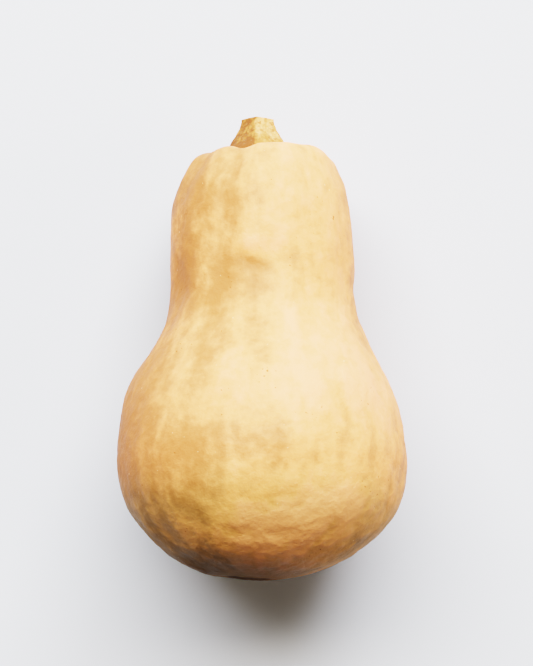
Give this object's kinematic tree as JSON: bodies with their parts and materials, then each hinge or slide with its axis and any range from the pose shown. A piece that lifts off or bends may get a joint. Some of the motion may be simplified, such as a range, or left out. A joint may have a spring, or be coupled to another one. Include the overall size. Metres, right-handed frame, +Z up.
{
  "type": "butternut squash",
  "caption": "Whole tan butternut squash lying on its side, with a round bulb, a straight neck and a short woody stem.",
  "frame": {"origin": "on the surface that the squash lies on, under the middle of its outline", "axes": "+Z up, +Y along the squash towards its stem, +X to its right seen from above with the stem away"},
  "size_m": [0.1294, 0.2108, 0.1293],
  "materials": {
    "rind": "satin",
    "corky_stem": "matte"
  },
  "bodies": {
    "root": {"fruit": "rind", "stem": "corky_stem"}
  },
  "joints": []
}
